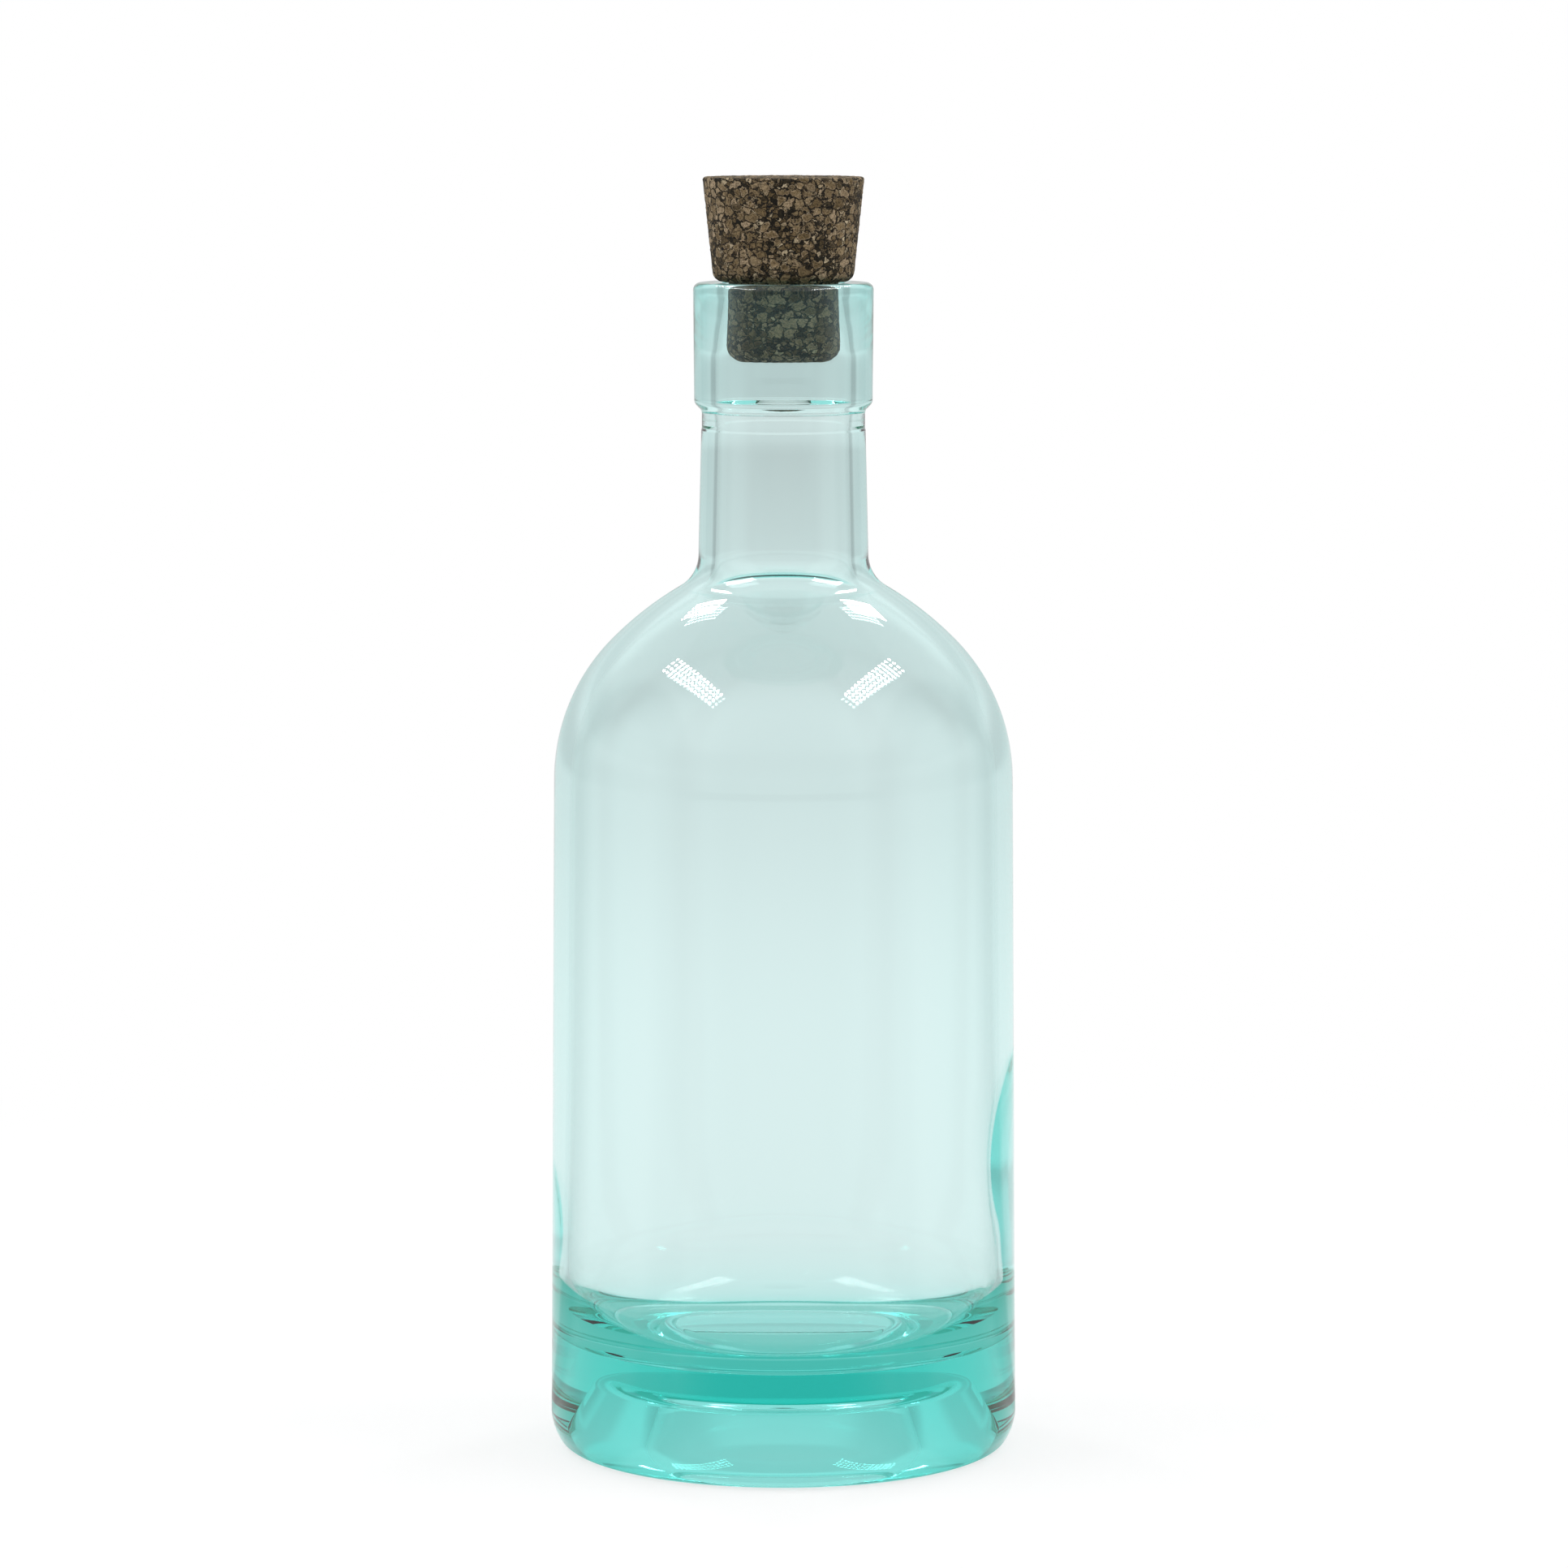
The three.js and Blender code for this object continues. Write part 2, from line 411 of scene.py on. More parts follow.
@dataclass(frozen=True)
class PressedCork:
    """Cork granules pressed together: brown chips among small pale and dark crumbs, with ragged voids whose
    near-black colour is painted shade.

    The spans of chips and crumbs are distances from a granule's edge, in shares of its width. The other
    spans are values of a noise.
    """

    chip_size: float = 1.9 * MM
    crumb_size: float = 1.0 * MM
    grain_size: float = 0.3 * MM
    void_size: float = 1.5 * MM
    flattening: float = 1.3
    ragged: float = 1.28 * MM
    ragged_scale: float = 1.2 / MM
    relief: float = 0.2 * MM
    grain_relief: float = 0.5
    roughness: float = 0.85
    specular: float = 0.25
    chip_share: Span = (0.3, 0.32)
    chip_joint: Span = (0.02, 0.05)
    chip_body: Span = (0.065, 0.11)
    chip_rim: Span = (0.22, 0.1)
    crumb_body: Span = (0.03, 0.15)
    grain_span: Span = (0.3, 0.7)
    grain_light: Span = (0.5, 1.5)
    void_span: Span = (0.635, 0.655)
    # Painted shade: the near-black colour of the hollows, standing in for the shade inside them.
    void_shade: Colour = (0.008, 0.009, 0.011, 1.0)
    joint: Colour = (0.010, 0.008, 0.004, 1.0)
    dark: Colour = (0.036, 0.026, 0.012, 1.0)
    brown: Colour = (0.105, 0.071, 0.032, 1.0)
    tan: Colour = (0.185, 0.132, 0.07, 1.0)
    light: Colour = (0.28, 0.21, 0.13, 1.0)
    pale: Colour = (0.42, 0.34, 0.22, 1.0)

    def material(self) -> bpy.types.Material:
        """Build the cork.

        Returns:
            The finished material.
        """
        material, nodes = new_material("pressed_cork")
        place = nodes.add("NodeTexCoord").outputs["Object"]
        ragged = self._ragged_place(nodes, place)
        granules, solid = self._chips_and_crumbs(nodes, ragged)
        grain = nodes.add("NodeTexNoise", {"Vector": ragged, "Scale": 1 / self.grain_size, "Detail": 2.0})
        grain_light = nodes.fade(grain.outputs["Fac"], self.grain_span, *self.grain_light)
        grained = nodes.blend(1.0, granules, grain_light, "MULTIPLY")
        hollow = nodes.add(
            "NodeTexNoise", {"Vector": ragged, "Scale": 1 / self.void_size, "Detail": 4.0, "Roughness": 0.7}
        )
        # The voids are real hollows in the bump, and their near-black colour is painted shade.
        shaded_voids = nodes.fade(hollow.outputs["Fac"], self.void_span)
        raised = nodes.math("SUBTRACT", solid, shaded_voids)
        height = nodes.math("MULTIPLY_ADD", grain.outputs["Fac"], self.grain_relief, raised)
        bump = nodes.add("NodeBump", {"Height": height, "Distance": self.relief})
        cork = nodes.add(
            "NodeBsdfPrincipled",
            {
                "Base Color": nodes.blend(shaded_voids, grained, self.void_shade),
                "Roughness": self.roughness,
                "Specular IOR Level": self.specular,
                "Normal": bump.outputs["Normal"],
            },
        )
        nodes.add("NodeOutputMaterial", {"Surface": cork.outputs["BSDF"]})
        return material

    def _ragged_place(self, nodes: Nodes, place: bpy.types.NodeSocket) -> bpy.types.NodeSocket:
        """Flatten the pattern and shift it about, so that the granules get ragged edges.

        Args:
            nodes: The material's nodes.
            place: Place on the piece.

        Returns:
            The shifted place.
        """
        noise = nodes.add("NodeTexNoise", {"Vector": place, "Scale": self.ragged_scale, "Detail": 3.0})
        shifted = nodes.vector("MULTIPLY_ADD", noise.outputs["Color"], (self.ragged,) * 3, place)
        return nodes.vector("MULTIPLY", shifted.outputs[0], (1.0, 1.0, self.flattening)).outputs[0]

    def _chips_and_crumbs(
        self, nodes: Nodes, place: bpy.types.NodeSocket
    ) -> tuple[bpy.types.NodeSocket, bpy.types.NodeSocket]:
        """Lay the chips, each with its dark joint and paler rim, among the crumbs.

        Args:
            nodes: The material's nodes.
            place: Place on the piece.

        Returns:
            The granules' colour, and where they stand out from their joints.
        """
        chip_lot, chip_edge = self._granules(nodes, place, self.chip_size)
        crumb_lot, crumb_edge = self._granules(nodes, place, self.crumb_size)
        chip_tone = nodes.ramp(
            chip_lot.outputs["Red"], {0.0: self.dark, 0.15: self.brown, 0.65: self.tan, 1.0: self.light}
        )
        crumb_tone = nodes.ramp(
            crumb_lot.outputs["Red"],
            {0.0: self.joint, 0.15: self.dark, 0.4: self.brown, 0.7: self.tan, 1.0: self.pale},
        )
        crumb_body = nodes.fade(crumb_edge, self.crumb_body)
        crumbs = nodes.blend(crumb_body, self.joint, crumb_tone)
        is_chip = nodes.fade(chip_lot.outputs["Blue"], self.chip_share)
        chip_body = nodes.math("MULTIPLY", is_chip, nodes.fade(chip_edge, self.chip_body))
        chip_joint = nodes.math("MULTIPLY", is_chip, nodes.fade(chip_edge, self.chip_joint))
        jointed = nodes.blend(chip_joint, crumbs, self.joint)
        chip_rim = nodes.math("MULTIPLY", nodes.fade(chip_edge, self.chip_rim), chip_lot.outputs["Green"])
        colour = nodes.blend(chip_body, jointed, nodes.blend(chip_rim, chip_tone, self.light))
        return colour, nodes.math("MAXIMUM", crumb_body, chip_body)

    def _granules(
        self, nodes: Nodes, place: bpy.types.NodeSocket, size: float
    ) -> tuple[bpy.types.Node, bpy.types.NodeSocket]:
        """Lay one size of granule.

        Args:
            nodes: The material's nodes.
            place: Place on the piece.
            size: Usual width of a granule.

        Returns:
            The node that gives each granule its chance values, and the distance to the granule's edge.
        """
        given = {"Vector": place, "Scale": 1 / size}
        cells = nodes.add("NodeTexVoronoi", given)
        edges = nodes.add("NodeTexVoronoi", given, feature="DISTANCE_TO_EDGE")
        return nodes.add("NodeSeparateColor", {"Color": cells.outputs["Color"]}), edges.outputs["Distance"]


@dataclass(frozen=True)
class GlassLump:
    """One place where the blown wall is thicker and swells into the cavity."""

    side: float
    height: float
    spread: float
    depth: float

    def swell(self, piece: bpy.types.Object, inner_radius: float) -> None:
        """Pull the cavity's wall inwards round one point.

        Args:
            piece: The glass, with its cavity.
            inner_radius: Usual radius of the cavity.
        """
        select_only(piece)
        bpy.ops.object.mode_set(mode="EDIT")
        bpy.ops.mesh.select_all(action="DESELECT")
        bpy.ops.object.mode_set(mode="OBJECT")
        centre = Vector((self.side * inner_radius, 0.0, self.height))
        nearest = min(piece.data.vertices, key=lambda vertex: (vertex.co - centre).length)
        nearest.select = True
        bpy.ops.object.mode_set(mode="EDIT")
        bpy.ops.transform.translate(
            value=(-self.side * self.depth, 0.0, 0.0),
            use_proportional_edit=True,
            use_proportional_connected=True,
            proportional_edit_falloff="SMOOTH",
            proportional_size=self.spread,
        )
        bpy.ops.object.mode_set(mode="OBJECT")


@dataclass
class GlassBottle:
    """The blown bottle: one wall from the punt up to the mouth and back down to the floor."""

    node: str = "glass_bottle"
    heel_diameter: float = 81.2 * MM
    shoulder_diameter: float = 79.4 * MM
    shoulder_start: float = 117.0 * MM
    wall: float = 2.9 * MM
    heel_side_radius: float = 8.4 * MM
    heel_foot_radius: float = 3.1 * MM
    heel_break: float = math.radians(34)
    punt_diameter: float = 50.0 * MM
    punt_depth: float = 12.3 * MM
    punt_slope: float = math.radians(72)
    punt_shoulder: float = 3.0 * MM
    punt_edge: float = 1.5 * MM
    ring_rise: float = 0.2 * MM
    ring_contact: float = 62.0 * MM
    floor_height: float = 18.4 * MM
    floor_rise: float = 0.6 * MM
    bowl_run: float = 9.0 * MM
    bowl_rise: float = 13.4 * MM
    shoulder_radius: float = 34.4 * MM
    shoulder_sweep: float = math.radians(44.7)
    crown_radius: float = 59.0 * MM
    root_radius: float = 6.5 * MM
    inner_root_radius: float = 8.5 * MM
    root_diameter: float = 29.3 * MM
    neck_diameter: float = 28.3 * MM
    finish_foot: float = 180.547 * MM
    neck_bore: float = 22.6 * MM
    seam_below_finish: float = 3.4 * MM
    seam_step: float = 0.1 * MM
    seam_width: float = 0.4 * MM
    finish_height: float = 21.95 * MM
    finish_top_diameter: float = 31.0 * MM
    finish_foot_diameter: float = 30.7 * MM
    finish_foot_radius: float = 1.4 * MM
    collar_fillet: float = 1.2 * MM
    finish_bore: float = 23.4 * MM
    finish_bore_depth: float = 12.4 * MM
    rim_radius: float = 1.3 * MM
    mouth_diameter: float = 20.2 * MM
    mouth_edge_radius: float = 1.2 * MM
    mouth_land: float = 0.4 * MM
    flare_diameter: float = 22.0 * MM
    flare_depth: float = 7.0 * MM
    lumps: tuple[GlassLump, ...] = (
        GlassLump(side=1.0, height=51.0 * MM, spread=18.0 * MM, depth=1.6 * MM),
        GlassLump(side=1.0, height=37.0 * MM, spread=13.0 * MM, depth=0.7 * MM),
        GlassLump(side=-1.0, height=39.0 * MM, spread=11.0 * MM, depth=0.6 * MM),
    )
    steps_round: int = 192
    finish: AquaGlass = field(default_factory=AquaGlass)

    def __post_init__(self) -> None:
        """Work out the centres of the arcs that the outside and the cavity share."""
        heel_step = self.heel_side_radius - self.heel_foot_radius
        heel_top = self.heel_foot_radius + heel_step * math.sin(self.heel_break)
        narrowing = (self.heel_diameter - self.shoulder_diameter) / 2
        self.draft = math.atan2(narrowing, self.shoulder_start - heel_top)
        self.heel_side: Point = (self.heel_diameter / 2 - self.heel_side_radius, heel_top)
        self.heel_foot: Point = (
            self.heel_side[0] + heel_step * math.cos(self.heel_break),
            self.heel_foot_radius,
        )
        self.shoulder: Point = (
            self.shoulder_diameter / 2 - self.shoulder_radius * math.cos(self.draft),
            self.shoulder_start - self.shoulder_radius * math.sin(self.draft),
        )
        crown_offset = self.crown_radius - self.shoulder_radius
        self.crown: Point = (
            self.shoulder[0] - crown_offset * math.cos(self.shoulder_sweep),
            self.shoulder[1] - crown_offset * math.sin(self.shoulder_sweep),
        )
        root_x = self.root_diameter / 2 + self.root_radius
        reach = self.crown_radius + self.root_radius
        self.root_angle = math.acos((root_x - self.crown[0]) / reach)
        self.root: Point = (root_x, self.crown[1] + reach * math.sin(self.root_angle))
        inner_x = self.root_diameter / 2 - self.wall + self.inner_root_radius
        inner_reach = self.crown_radius - self.wall + self.inner_root_radius
        self.inner_root_angle = math.acos((inner_x - self.crown[0]) / inner_reach)
        self.inner_root: Point = (inner_x, self.crown[1] + inner_reach * math.sin(self.inner_root_angle))
        self.rim = self.finish_foot + self.finish_height
        self.finish_neck = self.neck_diameter / 2 - self.seam_step
        bend_x = self.finish_foot_diameter / 2 - self.finish_foot_radius
        bend_rise = bend_x - self.finish_neck + self.finish_foot_radius * math.sqrt(2)
        self.foot_bend: Point = (bend_x, self.finish_foot + bend_rise)

    def outline(self) -> Outline:
        """Draw the half section of the glass, from the punt round to the floor.

        Returns:
            The closed half section, from axis to axis.
        """
        pen = Outline(0.0, self.punt_depth)
        self._draw_outside(pen)
        self._draw_finish(pen)
        self._draw_cavity(pen)
        return pen

    def _draw_outside(self, pen: Outline) -> None:
        """Draw punt, bearing ring, heel, body wall, shoulder and neck.

        Args:
            pen: The outline to add to.
        """
        self._draw_punt(pen)
        pen.line(self.heel_foot[0], 0.0, steps=4)
        pen.arc(self.heel_foot, self.heel_foot_radius, -math.pi / 2, -self.heel_break, steps=12)
        pen.arc(self.heel_side, self.heel_side_radius, -self.heel_break, self.draft, steps=12)
        pen.line(self.shoulder_diameter / 2, self.shoulder_start, steps=24)
        pen.arc(self.shoulder, self.shoulder_radius, self.draft, self.shoulder_sweep, steps=24)
        pen.arc(self.crown, self.crown_radius, self.shoulder_sweep, self.root_angle, steps=14)
        pen.arc(self.root, self.root_radius, self.root_angle + math.pi, math.pi, steps=14)
        seam = self.finish_foot - self.seam_below_finish
        pen.line(self.neck_diameter / 2, seam, steps=6)
        pen.line(self.finish_neck, seam + self.seam_width, steps=4)
        corner = (self.finish_neck, self.finish_foot)
        onward = (self.finish_neck + self.collar_fillet, self.finish_foot + self.collar_fillet)
        pen.corner(corner, onward, self.collar_fillet, steps=8)

    def _draw_punt(self, pen: Outline) -> None:
        """Draw the punt: flat top, rounded shoulder, steep side, rounded edge and the ring's rise.

        Args:
            pen: The outline to add to.
        """
        foot = (self.punt_diameter / 2, self.ring_rise)
        brow = (foot[0] - self.punt_depth / math.tan(self.punt_slope), self.punt_depth)
        pen.line(brow[0] - 2 * self.punt_shoulder, self.punt_depth, steps=8)
        pen.corner(brow, foot, self.punt_shoulder, steps=16)
        pen.corner(foot, (self.ring_contact / 2, 0.0), self.punt_edge, steps=10)
        pen.line(self.ring_contact / 2, 0.0, steps=4)

    def _draw_finish(self, pen: Outline) -> None:
        """Draw the collar, its rim and the mouth's edge.

        Args:
            pen: The outline to add to.
        """
        top = self.finish_top_diameter / 2
        mouth = self.mouth_diameter / 2
        edge = self.mouth_edge_radius
        pen.arc(self.foot_bend, self.finish_foot_radius, -math.pi / 4, 0.0, steps=8)
        pen.line(top, self.rim - self.rim_radius, steps=4)
        rim_centre = (top - self.rim_radius, self.rim - self.rim_radius)
        pen.arc(rim_centre, self.rim_radius, 0.0, math.pi / 2, steps=12)
        pen.arc((mouth + edge, self.rim - edge), edge, math.pi / 2, math.pi, steps=12)
        pen.line(mouth, self.rim - edge - self.mouth_land, steps=2)

    def _draw_cavity(self, pen: Outline) -> None:
        """Draw bore, inner shoulder, inner wall, bowl and floor.

        Args:
            pen: The outline to add to.
        """
        pen.line(self.flare_diameter / 2, self.rim - self.flare_depth, steps=6)
        pen.line(self.finish_bore / 2, self.rim - self.finish_bore_depth, steps=4)
        pen.line(self.finish_bore / 2, self.foot_bend[1], steps=2)
        pen.line(self.neck_bore / 2, self.finish_foot - self.seam_below_finish, steps=4)
        pen.line(self.root_diameter / 2 - self.wall, self.inner_root[1], steps=6)
        pen.arc(self.inner_root, self.inner_root_radius, math.pi, self.inner_root_angle + math.pi, steps=14)
        inner_crown = self.crown_radius - self.wall
        pen.arc(self.crown, inner_crown, self.inner_root_angle, self.shoulder_sweep, steps=14)
        inner_shoulder = self.shoulder_radius - self.wall
        pen.arc(self.shoulder, inner_shoulder, self.shoulder_sweep, self.draft, steps=24)
        bowl_top = self.floor_height + self.bowl_rise
        inner = self.heel_diameter / 2 - self.wall
        inner -= (bowl_top - self.heel_side[1]) * math.tan(self.draft)
        pen.line(inner, bowl_top, steps=48)
        bowl_centre = (inner - self.bowl_run, bowl_top)
        pen.arc(bowl_centre, (self.bowl_run, self.bowl_rise), 0.0, -math.pi / 2, steps=24)
        top = self.floor_height + self.floor_rise
        pen.curve((bowl_centre[0] / 2, top), (0.0, top), steps=16)

    def build(self) -> bpy.types.Object:
        """Model the glass and put it in the place of its CAD node.

        Returns:
            The finished piece.
        """
        piece = turn("bottle_glass", self.outline(), self.steps_round)
        for lump in self.lumps:
            lump.swell(piece, self.heel_diameter / 2 - self.wall - lump.height * math.tan(self.draft))
        piece.data.materials.clear()
        piece.data.materials.append(self.finish.material())
        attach(piece, Body.BOTTLE.value)
        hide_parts(self.node)
        return piece


@dataclass
class CorkStopper:
    """The pressed cork: a tapered grip head over a shank that swells a little below the mouth."""

    node: str = "cork_stopper"
    head_height: float = 18.0 * MM
    head_top_diameter: float = 27.9 * MM
    head_foot_diameter: float = 24.1 * MM
    head_top_edge: float = 0.5 * MM
    head_foot_edge: float = 1.8 * MM
    shank_diameter: float = 19.6 * MM
    shank_length: float = 13.4 * MM
    shank_pinch: float = 0.35 * MM
    swell_depth: float = 9.5 * MM
    shank_end_radius: float = 3.2 * MM
    relief: float = 0.14 * MM
    relief_size: float = 0.7 * MM
    relief_depth: int = 2
    relief_contrast: float = 1.6
    even_share: float = 0.94
    steps_round: int = 208
    finish: PressedCork = field(default_factory=PressedCork)

    def outline(self, seat: float) -> Outline:
        """Draw the cork's half section.

        Args:
            seat: Height of the underside of its head.

        Returns:
            The closed half section, from axis to axis.
        """
        shank = self.shank_diameter / 2
        end = seat - self.shank_length
        top = seat + self.head_height
        swell = (shank, seat - self.swell_depth)
        head_foot = (self.head_foot_diameter / 2, seat)
        head_top = (self.head_top_diameter / 2, top)
        pen = Outline(0.0, end)
        pen.line(shank - 1.5 * self.shank_end_radius, end, steps=12)
        pen.corner((shank, end), swell, self.shank_end_radius, steps=12)
        pen.line(*swell, steps=4)
        pen.line(shank - self.shank_pinch, seat, steps=22)
        pen.corner(head_foot, head_top, self.head_foot_edge, steps=10)
        pen.line(*Vector(head_foot).lerp(Vector(head_top), self.even_share), steps=36)
        pen.corner(head_top, (0.0, top), self.head_top_edge, steps=6)
        pen.line(0.0, top, steps=30)
        return pen

    def _roughen(self, piece: bpy.types.Object) -> None:
        """Press small hollows into the cork's skin, inwards only.

        Args:
            piece: The smooth cork.
        """
        hollows = bpy.data.textures.new("cork_hollows", "CLOUDS")
        hollows.noise_scale = self.relief_size
        hollows.noise_depth = self.relief_depth
        hollows.contrast = self.relief_contrast
        hollows.use_clamp = True
        select_only(piece)
        rough = piece.modifiers.new("rough_skin", "DISPLACE")
        rough.texture = hollows
        rough.texture_coords = "LOCAL"
        rough.mid_level = 1.0
        rough.strength = self.relief
        bpy.ops.object.modifier_apply(modifier=rough.name)

    def build(self) -> bpy.types.Object:
        """Model the cork and put it in the place of its CAD node.

        Returns:
            The finished piece.
        """
        low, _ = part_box(self.node)
        piece = turn("stopper_cork", self.outline(low[2] + self.shank_length), self.steps_round)
        self._roughen(piece)
        piece.data.materials.clear()
        piece.data.materials.append(self.finish.material())
        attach(piece, Body.STOPPER.value)
        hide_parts(self.node)
        return piece


@dataclass
class PhotoCamera:
    """The camera, at the photograph's viewing angle."""

    picture_size: float = 1932.0
    focal_length: float = 7730.0
    sensor: float = 36.0
    pitch: float = math.radians(6.7)
    distance: float = 1086.8 * MM
    aim: tuple[float, float, float] = (0.1 * MM, 0.0, 115.8 * MM)

    def build(self) -> None:
        """Place the camera and make it the scene's own."""
        data = bpy.data.cameras.new("photo_camera")
        data.sensor_width = self.sensor
        data.lens = self.focal_length / self.picture_size * self.sensor
        camera = bpy.data.objects.new("photo_camera", data)
        bpy.context.scene.collection.objects.link(camera)
        away = Vector((0.0, -math.cos(self.pitch), math.sin(self.pitch)))
        camera.location = Vector(self.aim) + away * self.distance
        camera.rotation_euler = (math.pi / 2 - self.pitch, 0.0, 0.0)
        bpy.context.scene.camera = camera


class Depth(Enum):
    """Where a soft panel hangs: towards the camera or behind the bottle."""

    FRONT = "front"
    BACK = "back"


@dataclass(frozen=True)
class SoftPanel:
    """One light panel set with rows of small lamps, aimed at the bottle."""

    depth: Depth
    place: tuple[float, float, float]
    width: float
    height: float
    power: float
    lamps: tuple[int, int]
    lamp_span: Span = (0.36, 0.27)
    lamp_level: float = 2.0

    def hang(self, side: float, aim: Vector) -> None:
        """Hang the panel on one side.

        Args:
            side: -1 for the left, 1 for the right.
            aim: Point that it faces.
        """
        name = f"{self.depth.value}_panel_{'left' if side < 0 else 'right'}"
        data = bpy.data.lights.new(name, "AREA")
        data.shape = "RECTANGLE"
        data.size = self.width
        data.size_y = self.height
        data.energy = self.power
        panel = bpy.data.objects.new(name, data)
        bpy.context.scene.collection.objects.link(panel)
        panel.location = (side * self.place[0], self.place[1], self.place[2])
        panel.rotation_euler = (aim - panel.location).to_track_quat("-Z", "Y").to_euler()
        panel.visible_camera = False
        self._set_lamps(data)

    def _set_lamps(self, data: bpy.types.AreaLight) -> None:
        """Break the panel's light up into rows of round lamps.

        Args:
            data: The panel's light.
        """
        data.use_nodes = True
        nodes = Nodes(data.node_tree)
        place = nodes.add("NodeNewGeometry").outputs["Parametric"]
        grid = nodes.vector("MULTIPLY", place, (*self.lamps, 0.0)).outputs[0]
        cell = nodes.vector("FRACTION", grid).outputs[0]
        offset = nodes.vector("DISTANCE", cell, (0.5, 0.5, 0.0)).outputs["Value"]
        lit = nodes.fade(offset, self.lamp_span, 0.0, self.lamp_level)
        nodes.add("NodeOutputLight", {"Surface": nodes.glow(WHITE, lit).outputs[0]})


@dataclass
class Studio:
    """A white floor that fades into a white world, and soft panels on both sides.

    Levels of light are shares of white. The floor's spans are distances from the bottle, and those of the
    sky, the gaps and the front are parts of a direction of length 1.
    """

    floor_radius: float = 12.0
    floor_corners: int = 96
    floor_contact: float = 0.05 * MM
    floor_albedo: float = 0.92
    shadow_share: float = 0.28
    shadow_span: Span = (0.4, 0.1)
    under_span: Span = (40.7 * MM, 37.0 * MM)
    under_glow: Colour = (0.22, 0.6, 0.55, 1.0)
    near_floor: float = 0.91
    bright_span: Span = (0.06, 0.35)
    bright_floor: float = 0.93
    middle_span: Span = (0.4, 1.1)
    middle_floor: float = 0.81
    far_span: Span = (1.2, 2.8)
    far_floor: float = 0.68
    room_span: Span = (1.2, 2.0)
    foreground_span: Span = (0.115, 0.1)
    world_light: float = 0.6
    backdrop_span: Span = (0.03, 0.15)
    backdrop: float = 0.85
    middle_sky_span: Span = (0.155, 0.2)
    middle_sky: float = 0.75
    ceiling_span: Span = (0.32, 0.42)
    ceiling: float = 0.95
    gap_start: Span = (0.7, 0.78)
    gap_end: Span = (0.95, 0.88)
    gap_dim: float = 0.32
    front_span: Span = (-0.95, -0.5)
    front_mirror: float = 0.06
    panel_aim: tuple[float, float, float] = (0.0, 0.0, 110.0 * MM)
    panels: tuple[SoftPanel, ...] = (
        SoftPanel(Depth.FRONT, place=(0.6, -0.14, 0.93), width=0.7, height=0.16, power=6.5, lamps=(14, 4)),
        SoftPanel(Depth.BACK, place=(0.36, 0.48, 0.84), width=0.1, height=0.2, power=2.2, lamps=(5, 10)),
    )
    bounces: int = 40

    def build(self) -> None:
        """Set the world, lay the floor and hang the panels."""
        self._world()
        self._floor()
        for panel in self.panels:
            for side in (-1.0, 1.0):
                panel.hang(side, Vector(self.panel_aim))
        scene = bpy.context.scene
        scene.view_settings.view_transform = "Standard"
        scene.cycles.max_bounces = self.bounces
        scene.cycles.transmission_bounces = self.bounces
        scene.cycles.glossy_bounces = self.bounces

    def _world(self) -> None:
        """Make the world white to the eye, softer to glass and softer still as a light."""
        world = bpy.data.worlds.new("studio")
        bpy.context.scene.world = world
        world.use_nodes = True
        nodes = Nodes(world.node_tree)
        direction = nodes.add("NodeTexCoord").outputs["Generated"]
        height = nodes.add("NodeSeparateXYZ", {"Vector": direction}).outputs["Z"]
        path = nodes.add("NodeLightPath")
        sky = (
            (self.backdrop_span, self.backdrop),
            (self.middle_sky_span, self.middle_sky),
            (self.ceiling_span, self.ceiling),
        )
        glass = nodes.steps(height, self.far_floor, sky)
        glass = nodes.math("MULTIPLY", glass, self._mirror_share(nodes, direction, path))
        glass = nodes.math("MULTIPLY", glass, self._board_gaps(nodes, direction))
        lit = nodes.mix(path.outputs["Is Glossy Ray"], self.world_light, glass)
        level = nodes.mix(path.outputs["Is Camera Ray"], lit, 1.0)
        light = nodes.add("NodeBackground", {"Color": WHITE, "Strength": level})
        nodes.add("NodeOutputWorld", {"Surface": light.outputs["Background"]})

    def _floor(self) -> None:
        """Lay the floor, which touches the glass of the bearing ring."""
        bpy.ops.object.select_all(action="DESELECT")
        bpy.ops.mesh.primitive_circle_add(
            vertices=self.floor_corners,
            radius=self.floor_radius,
            fill_type="NGON",
            location=(0.0, 0.0, self.floor_contact),
        )
        floor = bpy.context.object
        floor.name = "studio_floor"
        floor.data.materials.append(self._floor_material())

    def _floor_material(self) -> bpy.types.Material:
        """Make the floor white to the eye but for the bottle's shadow, and dimmer to the glass.

        Returns:
            The finished material.
        """
        material, nodes = new_material("studio_floor")
        place = nodes.add("NodeTexCoord").outputs["Object"]
        reach = nodes.vector("LENGTH", place).outputs["Value"]
        path = nodes.add("NodeLightPath")
        matt = nodes.add("NodeBsdfDiffuse", {"Color": (*(self.floor_albedo,) * 3, 1.0)})
        keep = nodes.fade(reach, self.shadow_span, 0.0, self.shadow_share)
        seen = nodes.shade(keep, nodes.glow(WHITE), matt)
        distant = nodes.glow(WHITE, self._floor_level(nodes, place, reach, path))
        through = nodes.shade(nodes.fade(reach, self.under_span), distant, nodes.glow(self.under_glow))
        glass = nodes.shade(path.outputs["Is Glossy Ray"], matt, through)
        look = nodes.shade(path.outputs["Is Camera Ray"], glass, seen)
        nodes.add("NodeOutputMaterial", {"Surface": look.outputs[0]})
        return material

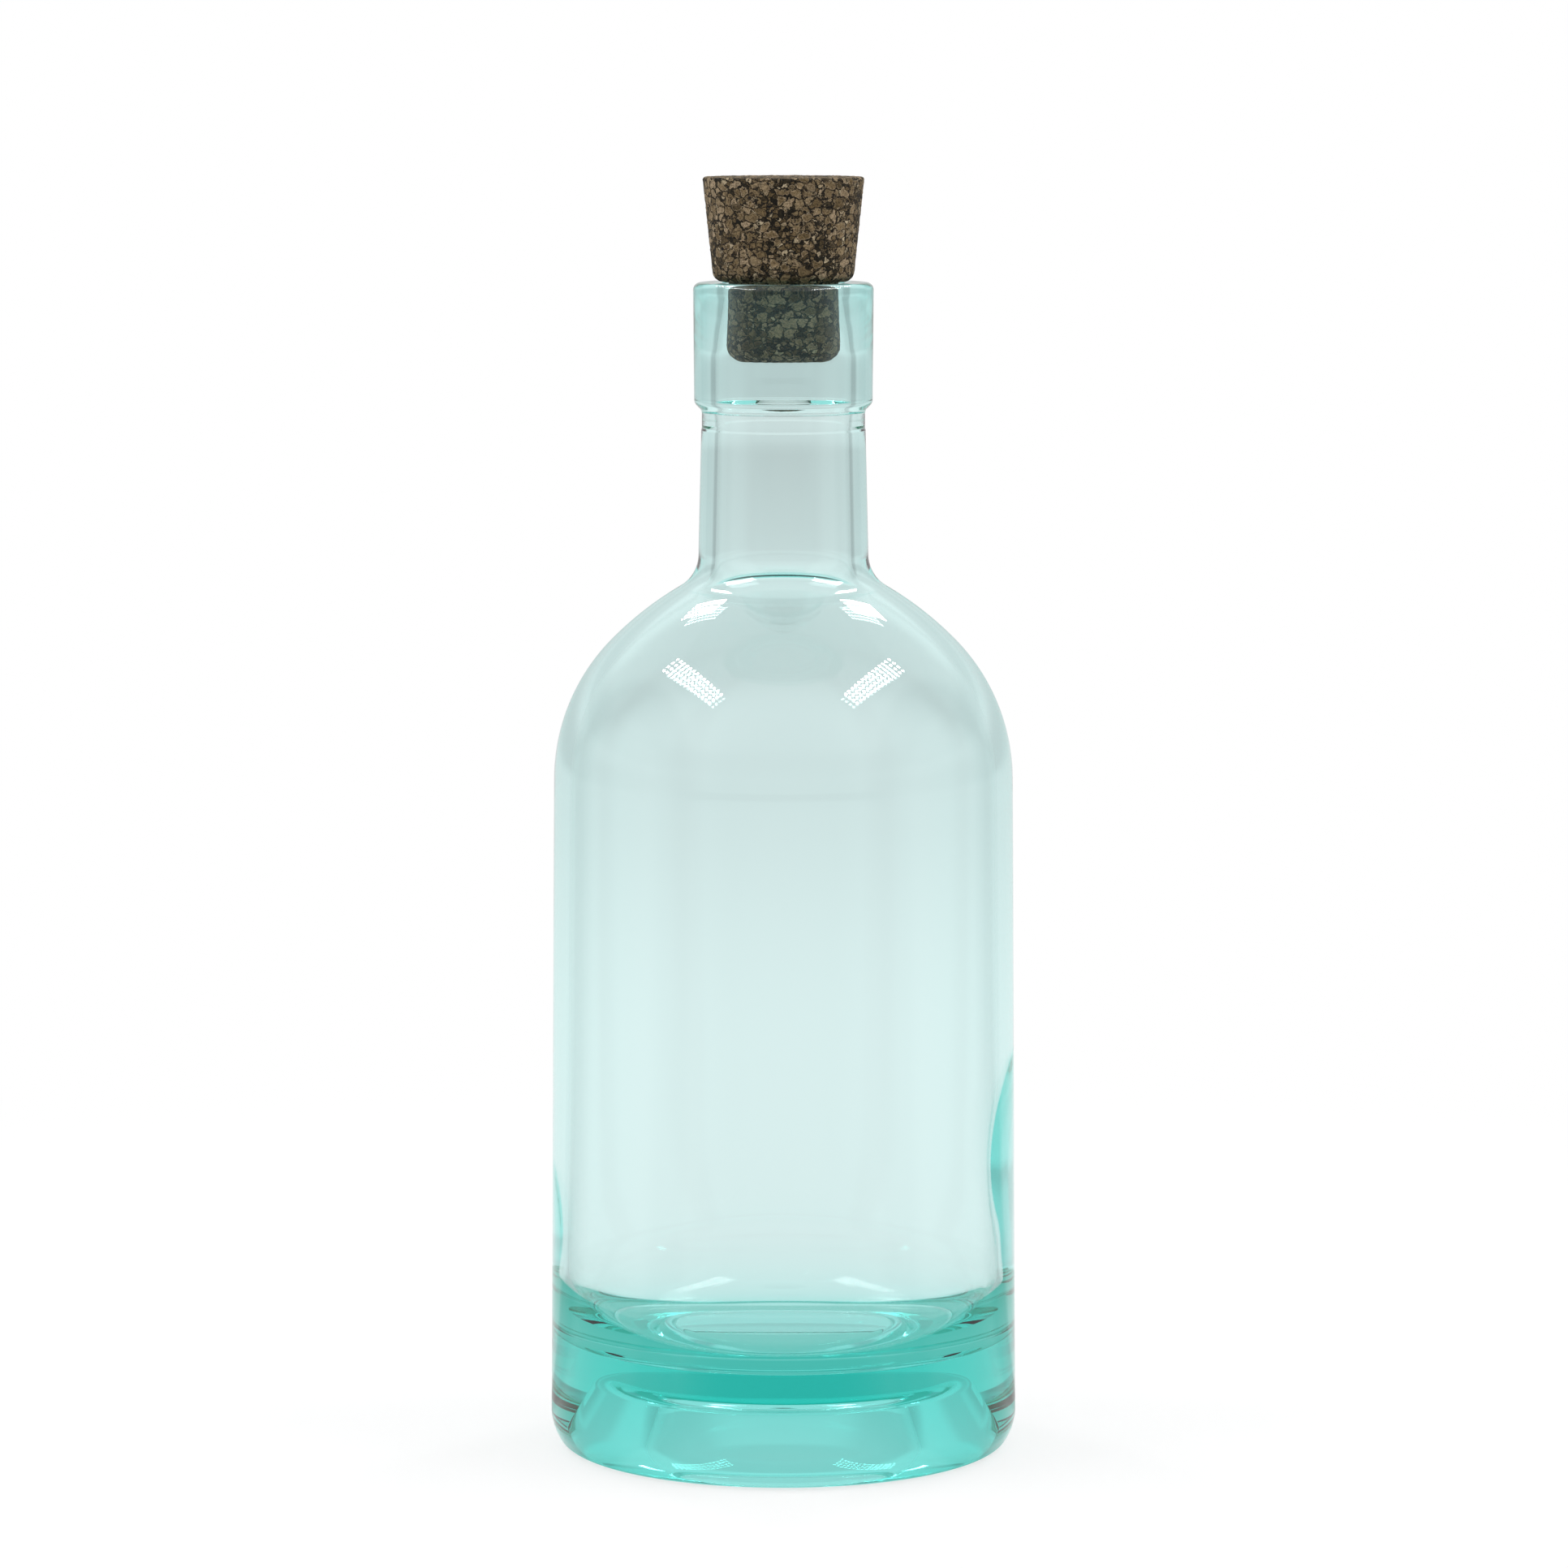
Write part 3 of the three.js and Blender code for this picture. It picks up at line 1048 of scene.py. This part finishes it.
    def _floor_level(
        self, nodes: Nodes, place: bpy.types.NodeSocket, reach: bpy.types.NodeSocket, path: bpy.types.Node
    ) -> bpy.types.NodeSocket:
        """Dim the floor into the distance, in the gaps and towards the camera.

        Args:
            nodes: The floor's nodes.
            place: Place on the floor.
            reach: Distance from the bottle.
            path: The Light Path node.

        Returns:
            The level of light that the glass sees.
        """
        floor = (
            (self.bright_span, self.bright_floor),
            (self.middle_span, self.middle_floor),
            (self.far_span, self.far_floor),
        )
        level = nodes.steps(reach, self.near_floor, floor)
        level = nodes.math("MULTIPLY", level, self._board_gaps(nodes, place))
        foreground = nodes.fade(reach, self.foreground_span)
        mirrored = nodes.math("MAXIMUM", foreground, self._mirror_share(nodes, place, path))
        level = nodes.math("MULTIPLY", level, mirrored)
        room = nodes.fade(reach, self.room_span, 1.0, 0.0)
        return nodes.math("MULTIPLY", level, nodes.math("MAXIMUM", room, self._front_share(nodes, place)))

    def _board_gaps(self, nodes: Nodes, place: bpy.types.NodeSocket) -> bpy.types.NodeSocket:
        """Dim the gaps between the back board and the side boards.

        Args:
            nodes: The nodes to add to.
            place: Place on the floor, or direction into the world.

        Returns:
            The share of light that is left.
        """
        ahead = nodes.vector("NORMALIZE", place).outputs[0]
        sideways = nodes.math("ABSOLUTE", nodes.add("NodeSeparateXYZ", {"Vector": ahead}).outputs["X"])
        entered = nodes.fade(sideways, self.gap_start)
        dimmed = nodes.fade(sideways, self.gap_end, 0.0, self.gap_dim)
        return nodes.math("SUBTRACT", 1.0, nodes.math("MULTIPLY", entered, dimmed))

    def _front_share(self, nodes: Nodes, place: bpy.types.NodeSocket) -> bpy.types.NodeSocket:
        """Dim the camera's side of the room, which is dark.

        Args:
            nodes: The nodes to add to.
            place: Place on the floor, or direction into the world.

        Returns:
            The share of light that is left.
        """
        ahead = nodes.vector("NORMALIZE", place).outputs[0]
        depth = nodes.add("NodeSeparateXYZ", {"Vector": ahead}).outputs["Y"]
        return nodes.fade(depth, self.front_span, self.front_mirror, 1.0)

    def _mirror_share(
        self, nodes: Nodes, place: bpy.types.NodeSocket, path: bpy.types.Node
    ) -> bpy.types.NodeSocket:
        """Dim what the outside of the glass mirrors from the camera's side of the room.

        Args:
            nodes: The nodes to add to.
            place: Place on the floor, or direction into the world.
            path: The Light Path node.

        Returns:
            The share of light that is left.
        """
        return nodes.math("MAXIMUM", self._front_share(nodes, place), path.outputs["Is Transmission Ray"])


def main() -> None:
    """Build the camera, the two pieces and the studio, and note the sizes."""
    logging.basicConfig(level=logging.INFO, format="%(message)s")
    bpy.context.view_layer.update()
    PhotoCamera().build()
    for part in (GlassBottle(), CorkStopper()):
        piece = part.build()
        LOG.info("%s: %d faces", piece.name, len(piece.data.polygons))
    Studio().build()


if __name__ == "__main__":
    main()
